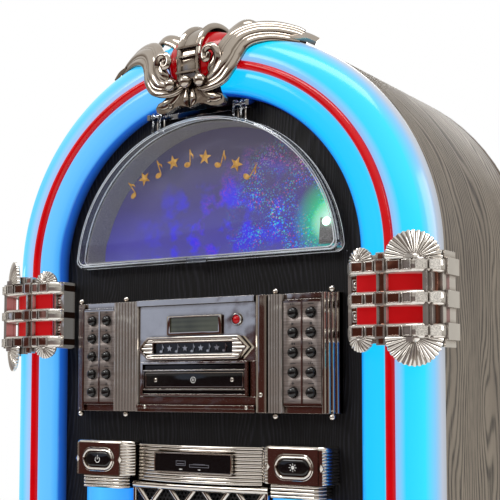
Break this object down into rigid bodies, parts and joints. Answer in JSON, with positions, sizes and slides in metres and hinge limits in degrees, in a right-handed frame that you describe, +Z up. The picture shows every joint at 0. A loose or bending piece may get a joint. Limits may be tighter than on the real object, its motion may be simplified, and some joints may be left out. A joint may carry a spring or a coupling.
{
  "type": "jukebox",
  "caption": "Floor-standing arch-top jukebox with lit tubes, chrome bands, a clear window door, a disc player console, push keys and a lattice loudspeaker grille.",
  "frame": {"origin": "on the floor, under the middle of the bounding box", "axes": "+Z up, front faces -Y, +X to the right of a person facing the front"},
  "size_m": [0.608, 0.329, 1.04],
  "materials": {
    "side_wood": "grey-brown open grain laminate, matt",
    "black_wood": "black embossed wood grain laminate, satin",
    "black_board": "painted fibreboard, matt",
    "lit_tube": "translucent moulding lit blue from inside",
    "red_plastic": "translucent red, glossy",
    "chrome": "bright chrome plated plastic",
    "grey_plastic": "moulded, matt",
    "brushed_plate": "satin plate",
    "black_plastic": "black, glossy",
    "holographic_film": "violet speckled holographic film",
    "clear_plastic": "clear moulded plastic",
    "steel": "zinc plated",
    "display": "grey-green liquid crystal in a plastic frame",
    "black_metal": "black perforated sheet",
    "speaker": "coated paper cone in a black frame"
  },
  "bodies": {
    "cabinet": {"cabinet_shell": "side_wood", "front_panel": "black_wood", "back_panel": "black_board", "base_plinth": "black_wood", "tube_left": "lit_tube", "bead_left": "red_plastic", "band_left": "chrome", "band_insert_left": "red_plastic", "keypad_plate_left": "brushed_plate", "switch_block_left": "chrome", "pilaster_left": "lit_tube", "tube_right": "lit_tube", "bead_right": "red_plastic", "band_right": "chrome", "band_insert_right": "red_plastic", "keypad_plate_right": "brushed_plate", "switch_block_right": "chrome", "pilaster_right": "lit_tube", "window_lamp": "grey_plastic", "crown_casting": "chrome", "crown_insert": "red_plastic", "window_tray": "grey_plastic", "window_film": "holographic_film", "hinge_bracket": "steel", "console_bezel": "chrome", "lcd_display": "display", "sensor_lens": "red_plastic", "nameplate": "chrome", "cd_mechanism": "black_plastic", "media_strip": "chrome", "grille_lattice": "chrome", "grille_mesh": "black_metal", "speaker_upper": "speaker", "speaker_lower": "speaker", "amplifier_board": "steel"},
    "door": {"window_door": "clear_plastic"},
    "tray": {"cd_tray": "black_plastic"},
    "power_switch": {"power_button": "black_plastic"},
    "light_switch": {"light_button": "black_plastic"},
    "key_left_1": {"key_left_1": "black_plastic"},
    "key_left_2": {"key_left_2": "black_plastic"},
    "key_left_3": {"key_left_3": "black_plastic"},
    "key_left_4": {"key_left_4": "black_plastic"},
    "key_left_5": {"key_left_5": "black_plastic"},
    "key_left_6": {"key_left_6": "black_plastic"},
    "key_left_7": {"key_left_7": "black_plastic"},
    "key_left_8": {"key_left_8": "black_plastic"},
    "key_left_9": {"key_left_9": "black_plastic"},
    "key_left_10": {"key_left_10": "black_plastic"},
    "key_right_1": {"key_right_1": "black_plastic"},
    "key_right_2": {"key_right_2": "black_plastic"},
    "key_right_3": {"key_right_3": "black_plastic"},
    "key_right_4": {"key_right_4": "black_plastic"},
    "key_right_5": {"key_right_5": "black_plastic"},
    "key_right_6": {"key_right_6": "black_plastic"},
    "key_right_7": {"key_right_7": "black_plastic"},
    "key_right_8": {"key_right_8": "black_plastic"},
    "key_right_9": {"key_right_9": "black_plastic"},
    "key_right_10": {"key_right_10": "black_plastic"}
  },
  "joints": [
    {"name": "door_hinge", "type": "hinge", "parent": "cabinet", "child": "door", "pos_m": [0, -0.1375, 0.9315], "axis": [-1, 0, 0], "range_deg": [0, 60]},
    {"name": "tray_slide", "type": "slide", "parent": "cabinet", "child": "tray", "axis": [0, -1, 0], "range_m": [0, 0.13]},
    {"name": "power_press", "type": "slide", "parent": "cabinet", "child": "power_switch", "axis": [0, 1, 0], "range_m": [0, 0.003], "stiffness_N_per_m": 400},
    {"name": "light_press", "type": "slide", "parent": "cabinet", "child": "light_switch", "axis": [0, 1, 0], "range_m": [0, 0.003], "stiffness_N_per_m": 400},
    {"name": "key_left_1_press", "type": "slide", "parent": "cabinet", "child": "key_left_1", "axis": [0, 1, 0], "range_m": [0, 0.0018], "stiffness_N_per_m": 300},
    {"name": "key_left_2_press", "type": "slide", "parent": "cabinet", "child": "key_left_2", "axis": [0, 1, 0], "range_m": [0, 0.0018], "stiffness_N_per_m": 300},
    {"name": "key_left_3_press", "type": "slide", "parent": "cabinet", "child": "key_left_3", "axis": [0, 1, 0], "range_m": [0, 0.0018], "stiffness_N_per_m": 300},
    {"name": "key_left_4_press", "type": "slide", "parent": "cabinet", "child": "key_left_4", "axis": [0, 1, 0], "range_m": [0, 0.0018], "stiffness_N_per_m": 300},
    {"name": "key_left_5_press", "type": "slide", "parent": "cabinet", "child": "key_left_5", "axis": [0, 1, 0], "range_m": [0, 0.0018], "stiffness_N_per_m": 300},
    {"name": "key_left_6_press", "type": "slide", "parent": "cabinet", "child": "key_left_6", "axis": [0, 1, 0], "range_m": [0, 0.0018], "stiffness_N_per_m": 300},
    {"name": "key_left_7_press", "type": "slide", "parent": "cabinet", "child": "key_left_7", "axis": [0, 1, 0], "range_m": [0, 0.0018], "stiffness_N_per_m": 300},
    {"name": "key_left_8_press", "type": "slide", "parent": "cabinet", "child": "key_left_8", "axis": [0, 1, 0], "range_m": [0, 0.0018], "stiffness_N_per_m": 300},
    {"name": "key_left_9_press", "type": "slide", "parent": "cabinet", "child": "key_left_9", "axis": [0, 1, 0], "range_m": [0, 0.0018], "stiffness_N_per_m": 300},
    {"name": "key_left_10_press", "type": "slide", "parent": "cabinet", "child": "key_left_10", "axis": [0, 1, 0], "range_m": [0, 0.0018], "stiffness_N_per_m": 300},
    {"name": "key_right_1_press", "type": "slide", "parent": "cabinet", "child": "key_right_1", "axis": [0, 1, 0], "range_m": [0, 0.0018], "stiffness_N_per_m": 300},
    {"name": "key_right_2_press", "type": "slide", "parent": "cabinet", "child": "key_right_2", "axis": [0, 1, 0], "range_m": [0, 0.0018], "stiffness_N_per_m": 300},
    {"name": "key_right_3_press", "type": "slide", "parent": "cabinet", "child": "key_right_3", "axis": [0, 1, 0], "range_m": [0, 0.0018], "stiffness_N_per_m": 300},
    {"name": "key_right_4_press", "type": "slide", "parent": "cabinet", "child": "key_right_4", "axis": [0, 1, 0], "range_m": [0, 0.0018], "stiffness_N_per_m": 300},
    {"name": "key_right_5_press", "type": "slide", "parent": "cabinet", "child": "key_right_5", "axis": [0, 1, 0], "range_m": [0, 0.0018], "stiffness_N_per_m": 300},
    {"name": "key_right_6_press", "type": "slide", "parent": "cabinet", "child": "key_right_6", "axis": [0, 1, 0], "range_m": [0, 0.0018], "stiffness_N_per_m": 300},
    {"name": "key_right_7_press", "type": "slide", "parent": "cabinet", "child": "key_right_7", "axis": [0, 1, 0], "range_m": [0, 0.0018], "stiffness_N_per_m": 300},
    {"name": "key_right_8_press", "type": "slide", "parent": "cabinet", "child": "key_right_8", "axis": [0, 1, 0], "range_m": [0, 0.0018], "stiffness_N_per_m": 300},
    {"name": "key_right_9_press", "type": "slide", "parent": "cabinet", "child": "key_right_9", "axis": [0, 1, 0], "range_m": [0, 0.0018], "stiffness_N_per_m": 300},
    {"name": "key_right_10_press", "type": "slide", "parent": "cabinet", "child": "key_right_10", "axis": [0, 1, 0], "range_m": [0, 0.0018], "stiffness_N_per_m": 300}
  ]
}
